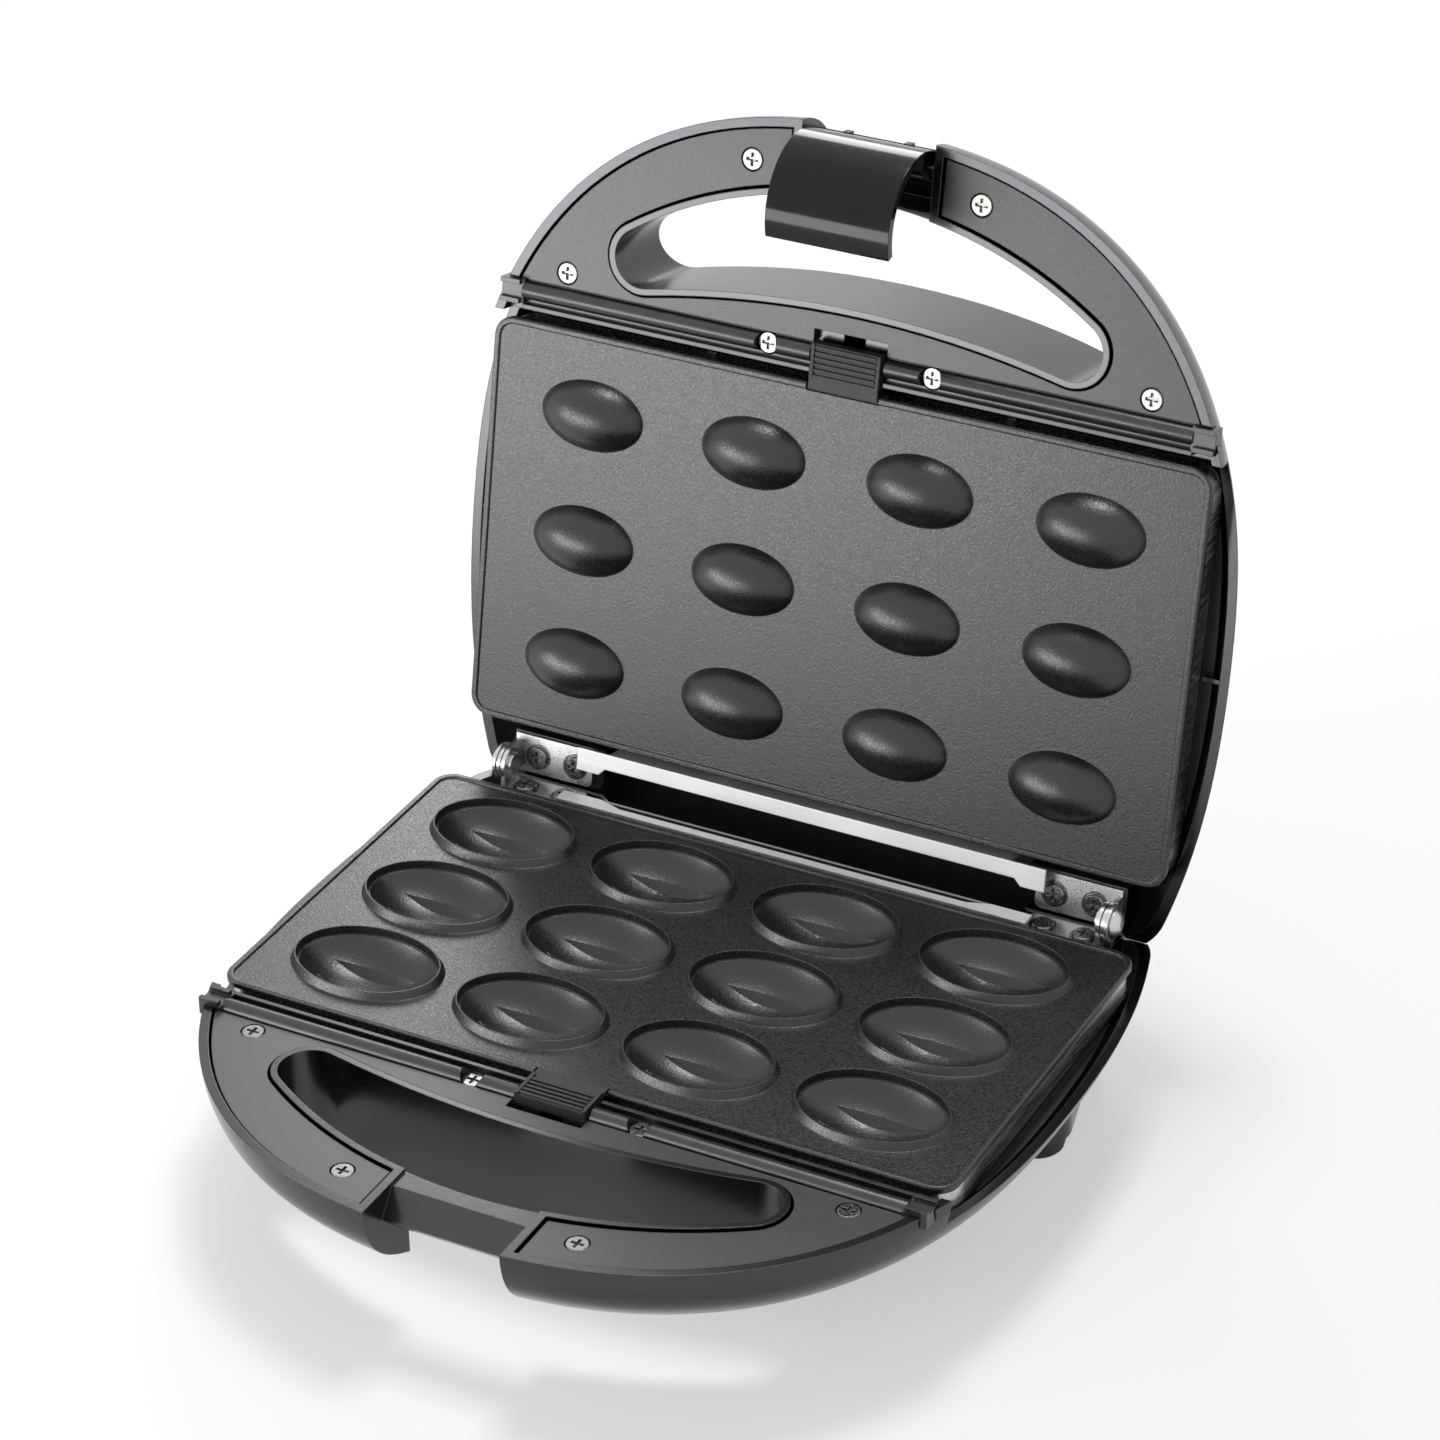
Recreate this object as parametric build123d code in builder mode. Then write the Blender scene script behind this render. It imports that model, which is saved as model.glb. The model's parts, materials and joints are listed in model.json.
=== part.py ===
from build123d import *
import os
from math import asin, atan2, cos, degrees, radians, sin, sqrt, tan

os.makedirs("parts", exist_ok=True)

# Millimetres. +Z is up, the handle points to -Y and the hinge is at +Y. The origin lies on the table,
# under the middle of the opened appliance. The lid is stored open, leaning on its stop.

# Driving dimensions
half_width = 116.5
front_reach = 128.0
rear_reach = 151.0
outline_centre_y = -2.9
outline_power = 2.36
rear_blend_y = 72.0
rear_corner_radius = 16.0
dome_centre_y = -20.0
parting_z = 46.0
cooking_centre_y = -2.8
wall = 2.6
rim_depth = 2.2
side_rim_depth = 9.5
side_rim_front_y = -60.6
hinge_y = 70.0
hinge_drop = 0.8
open_angle = 101.7

# Dome of each shell: a side arc of shoulder_radius, then a flatter crown_radius
shoulder_radius = 24.0
crown_radius = 90.0
shoulder_turn = 58.0
crown_turn = 84.0

# Cooking plates and their moulds
plate_half_x = 107.3
plate_front_y = -59.5
plate_back_y = 58.4
plate_corner = 6.0
flange_thickness = 1.4
core_thickness = 2.8
core_inset = 3.0
lower_face_depth = 1.4
upper_face_depth = 0.9
mould_pitch_x = 50.0
mould_pitch_y = 36.4
mould_columns = 4
mould_rows = 3
casting_wall = 2.0

# Handle opening, cover and latch gap
hole_front_radius = 123.4
hole_front_centre_y = 12.4
hole_back_radius = 298.0
hole_back_centre_y = 216.5
hole_end_radius = 8.4
hole_wall = 1.8
cover_inset = 3.3
cover_depth = 2.9
cover_thickness = 2.2
cover_back_y = -70.4
gap_half = 19.5
gap_wall = 2.4
gap_back_y = -109.0
groove = 0.8
cover_screws = ((-87.0, -74.4), (87.0, -74.4), (-33.7, -116.3), (33.7, -116.3))

# Front strip, release clips and their travel
strip_half = 100.0
strip_front_y = -70.1
strip_back_y = -62.0
strip_crest_depth = 1.0
strip_seat_depth = 5.5
strip_round_y = -67.2
strip_round_radius = 2.6
strip_screws = ((-24.5, strip_round_y), (24.5, strip_round_y))
clip_half = 10.3
clip_front_y = -70.6
clip_toe_y = -57.9

# Hinge
leaf_inner_x = 69.0
ear_x = 91.5
sheet = 1.2
ear_gap = 0.3
leaf_offset = 6.2
leaf_front_y = 63.0
leaf_back_y = 74.0
eye_radius = 5.0
pin_radius = 2.0
hinge_running_gap = 0.05
leaf_screws = ((74.6, 68.8), (86.6, 68.8))

# Latch, in the lid's own directions when shut
latch_half = 18.0
latch_radius = 19.0
latch_centre = (-109.4, -0.24)
latch_thickness = 2.4
latch_pivot = (-121.0, 9.0)
latch_pin_radius = 1.6
latch_hub_radius = 3.8

# Screws
screw_head_radius = 3.1
screw_head_height = 1.3
screw_radius = 1.45
pilot_radius = 1.5


class Half:
    """The base or the lid. Depth is measured from the parting plane into that half."""

    def __init__(self, origin, back, into, sign):
        self.origin = Vector(origin)
        self.back = Vector(back)
        self.into = Vector(into)
        self.sign = sign
        self.axis_depth = -sign * hinge_drop

    def point(self, x, y, depth):
        return self.origin + Vector(x, 0, 0) + self.back * y + self.into * depth

    def level(self, depth):
        """Plane parallel to the cooking face, local x to the right and local y to the hinge."""
        return Plane(
            origin=self.point(0, 0, depth), x_dir=(1, 0, 0), z_dir=self.into * self.sign
        )

    def side(self, x):
        """Upright plane across the handle and hinge, local (y, depth)."""
        return Plane(
            origin=self.point(x, 0, 0), x_dir=self.back, z_dir=(self.sign, 0, 0)
        )

    def front(self, y):
        """Upright plane along the width, local (x, depth)."""
        return Plane(
            origin=self.point(0, y, 0), x_dir=(1, 0, 0), z_dir=self.back * -self.sign
        )

    def inward(self, amount):
        """Signed length that extrudes a level() sketch into this half."""
        return self.sign * amount


def open_lid():
    """The lid's origin and directions after turning by open_angle about the hinge axis."""
    turn = radians(open_angle)
    back = (0, cos(turn), -sin(turn))
    into = (0, sin(turn), cos(turn))
    hinge_z = parting_z - hinge_drop
    origin = (
        0,
        cooking_centre_y + hinge_y - hinge_y * back[1] + hinge_drop * into[1],
        hinge_z - hinge_y * back[2] + hinge_drop * into[2],
    )
    return Half(origin, back, into, 1)


base = Half((0, cooking_centre_y, parting_z), (0, 1, 0), (0, 0, -1), -1)
lid = open_lid()


def save(piece, node):
    piece.part.label = node
    export_step(piece.part, f"parts/{node}.step")


def outline_point(turn):
    """Point of the housing's super-ellipse at the given angle in degrees."""
    c = cos(radians(turn))
    s = sin(radians(turn))
    reach = rear_reach if s > 0 else front_reach
    power = 2 / outline_power
    x = half_width * abs(c) ** power * (1 if c > 0 else -1)
    y = outline_centre_y + reach * abs(s) ** power * (1 if s > 0 else -1)
    return x, y


def outline_face(plane, inset):
    """Closed housing outline, drawn in towards the dome's centre by inset at the sides."""
    scale = 1 - inset / half_width
    rear_share = (rear_blend_y - outline_centre_y) / rear_reach
    start = degrees(asin(rear_share ** (outline_power / 2)))
    turns = [start, 14, 0] + [-15 * step for step in range(1, 12)] + [-180, -194, -180 - start]
    points = []
    for turn in turns:
        x, y = outline_point(turn)
        points.append((x * scale, dome_centre_y + (y - dome_centre_y) * scale))
    with BuildSketch(plane) as outline:
        with BuildLine():
            side_curve = Spline(*points)
            heading = side_curve % 1
            sweep_angle = degrees(atan2(heading.Y, heading.X))
            corner = rear_corner_radius * scale
            left = JernArc(side_curve @ 1, heading, corner, -sweep_angle)
            right = JernArc(side_curve @ 0, -(side_curve % 0), corner, sweep_angle)
            Line(left @ 1, right @ 1)
        make_face()
    return outline.sketch


def dome_sections(skin):
    """(inset, depth) of the dome's sections, skin mm inside the outer surface."""
    shoulder = shoulder_radius - skin
    crown = crown_radius - skin
    turn = radians(shoulder_turn)
    sections = []
    for angle in (0, 20, 40, shoulder_turn):
        a = radians(angle)
        sections.append((skin + shoulder * (1 - cos(a)), rim_depth + shoulder * sin(a)))
    for angle in (66, 75, crown_turn):
        a = radians(angle)
        inset = skin + shoulder * (1 - cos(turn)) + crown * (cos(turn) - cos(a))
        sections.append((inset, rim_depth + shoulder * sin(turn) + crown * (sin(a) - sin(turn))))
    return sections


floor_depth = dome_sections(0.0)[-1][1]


def dome_solid(half, skin):
    sections = dome_sections(skin)
    if skin > 0:
        sections[0] = (skin, rim_depth - 1.2)
    with BuildPart() as dome:
        for inset, depth in sections:
            add(outline_face(half.level(depth), inset))
        loft()
    return dome.part


def crescent_face(plane, grow):
    """Finger opening of the handle, its edge moved out by grow."""
    with BuildSketch(plane) as shape:
        with Locations((0, hole_front_centre_y)):
            Circle(hole_front_radius + grow)
        with Locations((0, hole_back_centre_y)):
            Circle(hole_back_radius - grow, mode=Mode.SUBTRACT)
        fillet(shape.vertices(), hole_end_radius + grow)
    return shape.sketch


def crescent_block(half, grow, depth_range):
    outline = crescent_face(half.level(depth_range[0]), grow)
    with BuildPart() as column:
        extrude(outline, amount=depth_range[1] - depth_range[0], dir=half.into)
    return column.part


def block(half, x_range, y_range, depth_range):
    """Box given by its limits in one half."""
    x0, x1 = x_range
    y0, y1 = y_range
    with BuildPart() as box:
        with BuildSketch(half.level(depth_range[0])):
            with Locations(((x0 + x1) / 2, (y0 + y1) / 2)):
                Rectangle(abs(x1 - x0), y1 - y0)
        extrude(amount=half.inward(depth_range[1] - depth_range[0]))
    return box.part


def posts(half, places, radius, depth_range):
    """Round posts or holes square to the cooking face."""
    with BuildPart() as group:
        with BuildSketch(half.level(depth_range[0])):
            with Locations(*places):
                Circle(radius)
        extrude(amount=half.inward(depth_range[1] - depth_range[0]))
    return group.part


def both_sides(places):
    return [(side * x, y) for side in (-1, 1) for x, y in places]


frame_posts = both_sides(((45.0, -59.1), (30.0, 58.6)))
frame_post_radius = 2.0
frame_depth = 12.5
frame_thickness = 2.0
leaf_far = leaf_offset + sheet
stop_slope = tan(radians(open_angle / 2))
stop_gap = 0.6
cover_seat = cover_depth + cover_thickness
side_rib_x = 107.4
side_rib_half = 0.6
shelf_thickness = 2.0
wall_y = (-63.0, -61.0)
slot_half = 3.2
slot_front_y = -74.5
slot_back_y = -63.6


def shell_walls(half, outer):
    """What stands inside a shell: opening wall, gap walls, bosses, shelf, ribs and hinge blocks."""
    deep = floor_depth + 2
    shelf = (strip_seat_depth, strip_seat_depth + shelf_thickness)
    seat = half.axis_depth + leaf_far
    with BuildPart() as walls:
        add(crescent_block(half, hole_wall, (rim_depth, deep)))
        add(posts(half, cover_screws, 4.0, (cover_seat, deep)))
        add(block(half, (-104, 104), (strip_front_y - 0.6, wall_y[1]), shelf))
        add(block(half, (-13, 13), (-77.0, wall_y[1]), shelf))
        add(block(half, (-116, 116), wall_y, (strip_seat_depth, deep)))
        add(posts(half, strip_screws, 3.4, (strip_seat_depth, 17.0)))
        add(posts(half, frame_posts, frame_post_radius, (frame_depth + frame_thickness, deep)))
        for side in (-1, 1):
            gap_wall_x = (side * gap_half, side * (gap_half + gap_wall))
            add(block(half, gap_wall_x, (-136, gap_back_y + 1.5), (rim_depth, deep)))
            add(block(half, (side * 66.0, side * 95.0), (62.5, 86), (seat, seat + 9)))
            if half is lid:
                rib = (-side_rib_half, side_rib_half)
                rib_depths = (side_rim_depth + 0.4, frame_depth)
                add(block(half, (side * side_rib_x, side * 120), rib, rib_depths))
        add(outer, mode=Mode.INTERSECT)
    return walls.part


def gap_bar(half):
    """Bar that ties the two arms of the handle together behind the latch gap."""
    if half is base:
        section = ((-109, 3), (-116.1, 3), (-121.7, 10), (-118.9, 13), (-109, 14.6))
    else:
        section = (
            (-109, 3.6), (-111.4, 3.6), (-111.4, 18.2), (-124.6, 18.2), (-121.6, 21.2), (-109, 24.6)
        )
    with BuildPart() as bar:
        with BuildSketch(half.side(0)):
            Polygon(*section, align=None)
        extrude(amount=gap_half + 0.2, both=True)
    return bar.part


def stop_wedge(half):
    """Slanted cut behind the hinge axis. The two cut faces come together when the lid is open."""
    depth = half.axis_depth + stop_gap
    run = 40.0
    with BuildPart() as wedge:
        with BuildSketch(half.side(0)):
            Polygon(
                (hinge_y, depth),
                (hinge_y + run, depth + run * stop_slope),
                (hinge_y + run, -20),
                (hinge_y, -20),
                align=None,
            )
        extrude(amount=half_width + 5, both=True)
    return wedge.part


def shell_openings(half):
    """Everything that is cut out of both shells after the inner walls stand."""
    deep = floor_depth + 6
    seat = half.axis_depth + leaf_far
    with BuildPart() as openings:
        add(crescent_block(half, 0.0, (-1, deep)))
        add(stop_wedge(half))
        add(posts(half, cover_screws, pilot_radius, (cover_seat - 0.1, 16.0)))
        add(posts(half, strip_screws, pilot_radius, (strip_seat_depth - 0.1, 15.0)))
        add(posts(half, frame_posts, 1.1, (frame_depth, 21.5)))
        add(posts(half, both_sides(leaf_screws), pilot_radius, (seat - 0.1, seat + 7.5)))
        stem_slot = (strip_seat_depth - 1, 8.5)
        add(block(half, (-slot_half, slot_half), (slot_front_y, slot_back_y), stem_slot))
        for side in (-1, 1):
            lug_x = (side * (strip_half - 0.6), side * 106.6)
            add(block(half, lug_x, (-70.6, -63.4), (-1, strip_seat_depth)))
    return openings.part


def common_shell(half):
    """Dome, inner walls and the openings that base and lid share."""
    outer = dome_solid(half, 0.0)
    inner = dome_solid(half, wall)
    walls = shell_walls(half, outer)
    with BuildPart() as shell:
        add(outer)
        add(inner, mode=Mode.SUBTRACT)
        add(
            block(half, (-130, 130), (side_rim_front_y, 140), (-5, side_rim_depth)),
            mode=Mode.SUBTRACT,
        )
        add(walls)
        add(
            block(half, (-gap_half, gap_half), (-140, gap_back_y + 2), (-1, floor_depth + 6)),
            mode=Mode.SUBTRACT,
        )
        add(gap_bar(half))
        add(shell_openings(half), mode=Mode.SUBTRACT)
    return shell.part, inner


# Base shell: the common shell with its foot posts, cord outlet and cooling slots
front_feet = ((-62.0, -56.0), (62.0, -56.0))
rear_foot_from = (93.0, 26.0)
rear_foot_to = (84.0, 62.0)
foot_radius = 7.5
foot_post_radius = 9.5
foot_socket = 2.0
foot_height = 8.0
outlet_x = -45.0
outlet_depth = 24.0
outlet_radius = 8.0
outlet_end_y = 78.0
gland_radius = 5.5
cord_radius = 3.6
foot_post_end = parting_z - foot_height + foot_socket


def rear_foot_face(plane, side, radius):
    """Long rounded outline of a rear foot."""
    run_x = side * (rear_foot_to[0] - rear_foot_from[0])
    run_y = rear_foot_to[1] - rear_foot_from[1]
    middle_x = side * (rear_foot_from[0] + rear_foot_to[0]) / 2
    middle_y = (rear_foot_from[1] + rear_foot_to[1]) / 2
    with BuildSketch(plane) as outline:
        with Locations(Location((middle_x, middle_y), degrees(atan2(run_y, run_x)))):
            SlotCenterToCenter(sqrt(run_x**2 + run_y**2), 2 * radius)
    return outline.sketch


def feet_block(radius, depth_range):
    with BuildPart() as feet:
        add(posts(base, front_feet, radius, depth_range))
        for side in (-1, 1):
            outline = rear_foot_face(base.level(depth_range[0]), side, radius)
            extrude(outline, amount=depth_range[1] - depth_range[0], dir=base.into)
    return feet.part


common_base, base_inner = common_shell(base)
with BuildPart() as base_additions:
    add(feet_block(foot_post_radius, (16.0, foot_post_end)))
    with BuildSketch(base.front(58.0)):
        with Locations((outlet_x, outlet_depth)):
            Circle(outlet_radius)
    extrude(amount=outlet_end_y - 58.0)
    add(base_inner, mode=Mode.SUBTRACT)

with BuildPart() as base_shell:
    add(common_base)
    add(base_additions.part)
    with BuildSketch(base.front(50.0)):
        with Locations((outlet_x, outlet_depth)):
            Circle(gland_radius)
    extrude(amount=40.0, mode=Mode.SUBTRACT)
    sockets = feet_block(foot_radius + 0.1, (foot_post_end - foot_socket, foot_post_end + 1))
    add(sockets, mode=Mode.SUBTRACT)
    with BuildSketch(base.level(floor_depth + 1)):
        with Locations((0, -18)):
            with GridLocations(0, 9.0, 1, 6):
                SlotOverall(64, 2.4)
    extrude(amount=base.inward(-6), mode=Mode.SUBTRACT)
save(base_shell, "base_shell")

# Lid shell: the common shell with holes for the lamps and the latch pin
lamp_places = ((-11.0, -52.0), (11.0, -52.0))
lamp_radius = 3.0
common_lid, lid_inner = common_shell(lid)
with BuildPart() as lid_shell:
    add(common_lid)
    add(posts(lid, lamp_places, lamp_radius, (floor_depth - 6, floor_depth + 3)), mode=Mode.SUBTRACT)
    with BuildSketch(lid.side(0)):
        with Locations(latch_pivot):
            Circle(latch_pin_radius)
    extrude(amount=gap_half + gap_wall - 0.6, both=True, mode=Mode.SUBTRACT)
save(lid_shell, "lid_shell")


# Handle covers, satin sheets sunk a little below the rim of the shell
counterbore_radius = screw_head_radius + 0.2
counterbore_depth = screw_head_height
cover_hole_grow = hole_wall + groove
cover_gap = gap_half + gap_wall + groove
for half, name in ((base, "base"), (lid, "lid")):
    with BuildPart() as cover:
        sheet_outline = outline_face(half.level(cover_depth), cover_inset)
        extrude(sheet_outline, amount=cover_thickness, dir=half.into)
        add(block(half, (-130, 130), (cover_back_y, 120), (0, 9)), mode=Mode.SUBTRACT)
        add(block(half, (-cover_gap, cover_gap), (-140, gap_back_y + 3), (0, 9)), mode=Mode.SUBTRACT)
        add(crescent_block(half, cover_hole_grow, (0, 9)), mode=Mode.SUBTRACT)
        add(block(half, (-11.0, 11.0), (-74.0, -60), (0, 9)), mode=Mode.SUBTRACT)
        add(posts(half, cover_screws, 1.6, (0, 9)), mode=Mode.SUBTRACT)
        add(
            posts(half, cover_screws, counterbore_radius, (0, cover_depth + counterbore_depth)),
            mode=Mode.SUBTRACT,
        )
    save(cover, f"{name}_handle_cover")


# Front strips: a half-round bar, a low ridge beside it and a lug at each end
pocket_half = 11.0
pocket_floor = 4.4
strip_head_depth = 3.2
lug_outer_x = 106.4
ridge_y = (-63.4, -62.2)
for half, name in ((base, "base"), (lid, "lid")):
    round_depth = strip_crest_depth + strip_round_radius
    with BuildPart() as strip:
        with BuildSketch(half.side(0)):
            with Locations(((strip_front_y + strip_back_y) / 2, (round_depth + strip_seat_depth) / 2)):
                Rectangle(strip_back_y - strip_front_y, strip_seat_depth - round_depth)
            with Locations((strip_round_y, round_depth)):
                Circle(strip_round_radius)
            with Locations((sum(ridge_y) / 2, (1.7 + strip_seat_depth) / 2)):
                Rectangle(ridge_y[1] - ridge_y[0], strip_seat_depth - 1.7)
            with Locations((strip_round_y, strip_seat_depth + 5)):
                Rectangle(20, 10, mode=Mode.SUBTRACT)
        extrude(amount=strip_half, both=True)
        for side in (-1, 1):
            lug_x = (side * (strip_half - 0.4), side * lug_outer_x)
            add(block(half, lug_x, (-70.4, -63.6), (1.6, strip_seat_depth)))
            for lug_y in (-69.7, -64.3):
                fork_x = (side * (strip_half + 0.4), side * lug_outer_x)
                add(block(half, fork_x, (lug_y - 0.7, lug_y + 0.7), (0.4, 3)))
        add(block(half, (-pocket_half, pocket_half), (-72, -60), (-1, pocket_floor)), mode=Mode.SUBTRACT)
        add(
            block(half, (-slot_half, slot_half), (-72, slot_back_y), (-1, 9)),
            mode=Mode.SUBTRACT,
        )
        add(posts(half, strip_screws, 1.6, (0, 9)), mode=Mode.SUBTRACT)
        add(
            posts(half, strip_screws, counterbore_radius, (-1, strip_head_depth + screw_head_height)),
            mode=Mode.SUBTRACT,
        )
    save(strip, f"{name}_front_strip")


# Plate release clips: a ribbed slide with a toe over the plate and a stem in the shell's slot
stem = (-67.4, -64.4)
for half, name, face_depth in ((base, "lower", lower_face_depth), (lid, "upper", upper_face_depth)):
    with BuildPart() as clip:
        add(block(half, (-clip_half, clip_half), (clip_front_y, -60.9), (0.9, 4.0)))
        toe_depths = (face_depth - 0.5, face_depth + 0.6)
        add(block(half, (-clip_half, clip_half), (-62.0, clip_toe_y), toe_depths))
        add(block(half, (-clip_half, clip_half), (-62.0, -60.9), (face_depth - 0.5, 4.0)))
        for rib in range(5):
            rib_y = -69.7 + 1.6 * rib
            rib_x = (-clip_half + 1.2, clip_half - 1.2)
            add(block(half, rib_x, (rib_y - 0.4, rib_y + 0.4), (0.3, 1.5)))
        for side in (-1, 1):
            edge_x = (side * (clip_half - 1.0), side * clip_half)
            add(block(half, edge_x, (clip_front_y, -60.9), (0.3, 1.5)))
        add(block(half, (-2.4, 2.4), stem, (3.9, 7.6)))
    save(clip, f"{name}_release_clip")


# Cooking plates
bowl_half = (23.1, 16.08)
bowl_axis_above = 8.08
dome_half = (16.5, 10.44)
dome_axis_below = 3.0
lip_foot = (22.1, 15.9)
lip_crest = (21.0, 14.8)
lip_height = 2.2
well_mouth = (20.65, 14.45)
well_foot = (20.35, 14.15)
well_depth = 0.25
line_length = 13.8
line_height = 1.9
line_half = 2.4
line_y = 5.6
line_bend = 1.6
border_inset = 0.1
border_height = 0.55
border_width = 1.8
border_round = 0.45
notch_half = 10.9
notch_back_y = -57.3
plate_y = (plate_front_y + plate_back_y) / 2
plate_height = plate_back_y - plate_front_y


def spheroid(half, axis_depth, half_length, radius):
    """Ellipse turned about an axis along X, centred at x = y = 0."""
    plane = Plane(origin=half.point(0, 0, axis_depth), x_dir=(1, 0, 0), z_dir=half.back)
    with BuildPart() as solid:
        with BuildSketch(plane):
            Ellipse(half_length, radius)
            with Locations((0, -radius)):
                Rectangle(4 * half_length, 2 * radius, mode=Mode.SUBTRACT)
        revolve(axis=Axis(half.point(0, 0, axis_depth), (1, 0, 0)), revolution_arc=360)
    return solid.part


def bowl_depth(x, y):
    """Depth of the hollow's wall under (x, y), measured from its centre."""
    radius = bowl_half[1] * sqrt(1 - (x / bowl_half[0]) ** 2)
    return lower_face_depth - bowl_axis_above + sqrt(radius**2 - y**2)


def walnut_line(half, side):
    """Lens-shaped ridge with a sharp back, lying along one side of a hollow."""
    with BuildPart() as ridge:
        for x in (-13.6, -10.0, -5.0, 0.0, 5.0, 10.0, 13.6):
            share = 1 - (x / line_length) ** 2
            middle_y = side * (line_y - line_bend * (1 - share))
            bottom = bowl_depth(x, middle_y)
            spread = line_half * share + 0.12
            plane = Plane(origin=half.point(x, 0, 0), x_dir=half.back, z_dir=(half.sign, 0, 0))
            with BuildSketch(plane):
                Polygon(
                    (middle_y, bottom - line_height * share - 0.02),
                    (middle_y + spread, bottom + 0.9),
                    (middle_y - spread, bottom + 0.9),
                    align=None,
                )
        loft()
    return ridge.part


def plate_border(half, face_depth):
    """Raised bead along the edge of the plate, its two top edges rounded."""
    with BuildPart() as bead:
        with BuildSketch(half.level(face_depth + 0.3)):
            with Locations((0, plate_y)):
                for inset, mode in (
                    (border_inset, Mode.ADD),
                    (border_inset + border_width, Mode.SUBTRACT),
                ):
                    size = (2 * (plate_half_x - inset), plate_height - 2 * inset)
                    RectangleRounded(*size, plate_corner - inset, mode=mode)
        extrude(amount=half.inward(-border_height - 0.3))
        top = bead.faces().sort_by(Axis(half.origin, half.into))[0]
        fillet(top.edges(), border_round)
    return bead.part


def plate_body(half, face_depth):
    """Flat plate with its thin flange, raised bead and the notch for the release clip."""
    with BuildPart() as plate:
        for inset, thick in ((0.0, flange_thickness), (core_inset, core_thickness)):
            with BuildSketch(half.level(face_depth)):
                with Locations((0, plate_y)):
                    RectangleRounded(
                        2 * (plate_half_x - inset), plate_height - 2 * inset, plate_corner - inset / 2
                    )
            extrude(amount=half.inward(thick))
        add(plate_border(half, face_depth))
        notch_y = (plate_front_y - 1, notch_back_y)
        add(
            block(half, (-notch_half, notch_half), notch_y, (-2, face_depth + 0.7)),
            mode=Mode.SUBTRACT,
        )
    return plate.part


def repeated(half, tool):
    """One copy of the tool at every mould centre."""
    copies = []
    for place in GridLocations(mould_pitch_x, mould_pitch_y, mould_columns, mould_rows):
        shift = half.point(place.position.X, place.position.Y, 0) - half.origin
        copies.append(Location(shift) * tool)
    return copies


bowl_axis_depth = lower_face_depth - bowl_axis_above
bowl = spheroid(base, bowl_axis_depth, *bowl_half)
bowl_back = spheroid(base, bowl_axis_depth, bowl_half[0] + casting_wall, bowl_half[1] + casting_wall)
with BuildPart() as bowl_casting:
    add(bowl_back)
    add(block(base, (-30, 30), (-20, 20), (-40, lower_face_depth + 0.4)), mode=Mode.SUBTRACT)
    with BuildSketch(base.level(lower_face_depth + 0.4)):
        Ellipse(*lip_foot)
    with BuildSketch(base.level(lower_face_depth)):
        Ellipse(*lip_foot)
    with BuildSketch(base.level(lower_face_depth - lip_height)):
        Ellipse(*lip_crest)
    loft(ruled=True)
with BuildPart() as well:
    add(bowl)
    add(block(base, (-30, 30), (-20, 20), (-40, lower_face_depth + 0.1)), mode=Mode.SUBTRACT)
    with BuildSketch(base.level(lower_face_depth - lip_height - 0.1)):
        Ellipse(*well_mouth)
    with BuildSketch(base.level(lower_face_depth + well_depth)):
        Ellipse(*well_foot)
    loft(ruled=True)
with BuildPart() as lines:
    add(walnut_line(base, -1))
    add(walnut_line(base, 1))
    add(bowl_back, mode=Mode.INTERSECT)
with BuildPart() as lower_plate:
    add(plate_body(base, lower_face_depth))
    add(repeated(base, bowl_casting.part))
    add(repeated(base, well.part), mode=Mode.SUBTRACT)
    add(repeated(base, lines.part))
save(lower_plate, "lower_plate")

dome_axis_depth = upper_face_depth + dome_axis_below
dome = spheroid(lid, dome_axis_depth, *dome_half)
hollow_half = (dome_half[0] - casting_wall, dome_half[1] - casting_wall)
dome_hollow = spheroid(lid, dome_axis_depth, *hollow_half)
back_side = (upper_face_depth + core_thickness - 0.4, 20)
with BuildPart() as dome_top:
    add(dome)
    add(block(lid, (-30, 30), (-20, 20), back_side), mode=Mode.SUBTRACT)
with BuildPart() as upper_plate:
    add(plate_body(lid, upper_face_depth))
    add(repeated(lid, dome_top.part))
    add(repeated(lid, dome_hollow), mode=Mode.SUBTRACT)
save(upper_plate, "upper_plate")


# Heat pans: bright sheet trays round the plates, stepped inward below the visible wall
pan_sheet = 0.6
pan_top_gap = 0.1
pan_step_depth = 8.9
pan_floor_depth = 15.8
pan_step = 2.7
pan_corner = 9.0
element_leg_y = 18.2
for half, name, face_depth in ((base, "lower", lower_face_depth), (lid, "upper", upper_face_depth)):
    top = face_depth + flange_thickness + pan_top_gap
    with BuildPart() as pan:
        for inset, depths in (
            (0.3, (top, pan_step_depth + pan_sheet)),
            (pan_step, (pan_step_depth, pan_floor_depth + pan_sheet)),
        ):
            with BuildSketch(half.level(depths[0])):
                with Locations((0, plate_y)):
                    RectangleRounded(2 * (plate_half_x - inset), plate_height - 2 * inset, pan_corner)
            extrude(amount=half.inward(depths[1] - depths[0]))
        for inset, depths in (
            (0.3 + pan_sheet, (top - 1, pan_step_depth)),
            (pan_step + pan_sheet, (pan_step_depth - 1, pan_floor_depth)),
        ):
            with BuildSketch(half.level(depths[0])):
                with Locations((0, plate_y)):
                    RectangleRounded(
                        2 * (plate_half_x - inset), plate_height - 2 * inset, pan_corner - pan_sheet
                    )
            extrude(amount=half.inward(depths[1] - depths[0]), mode=Mode.SUBTRACT)
        clip_space = block(half, (-notch_half - 1, notch_half + 1), (plate_front_y - 1, -58.0), (0, 5))
        add(clip_space, mode=Mode.SUBTRACT)
        pin_holes = ((-90, -element_leg_y), (-90, element_leg_y))
        add(posts(half, pin_holes, 3.0, (15, 18)), mode=Mode.SUBTRACT)
    save(pan, f"{name}_heat_pan")


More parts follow.
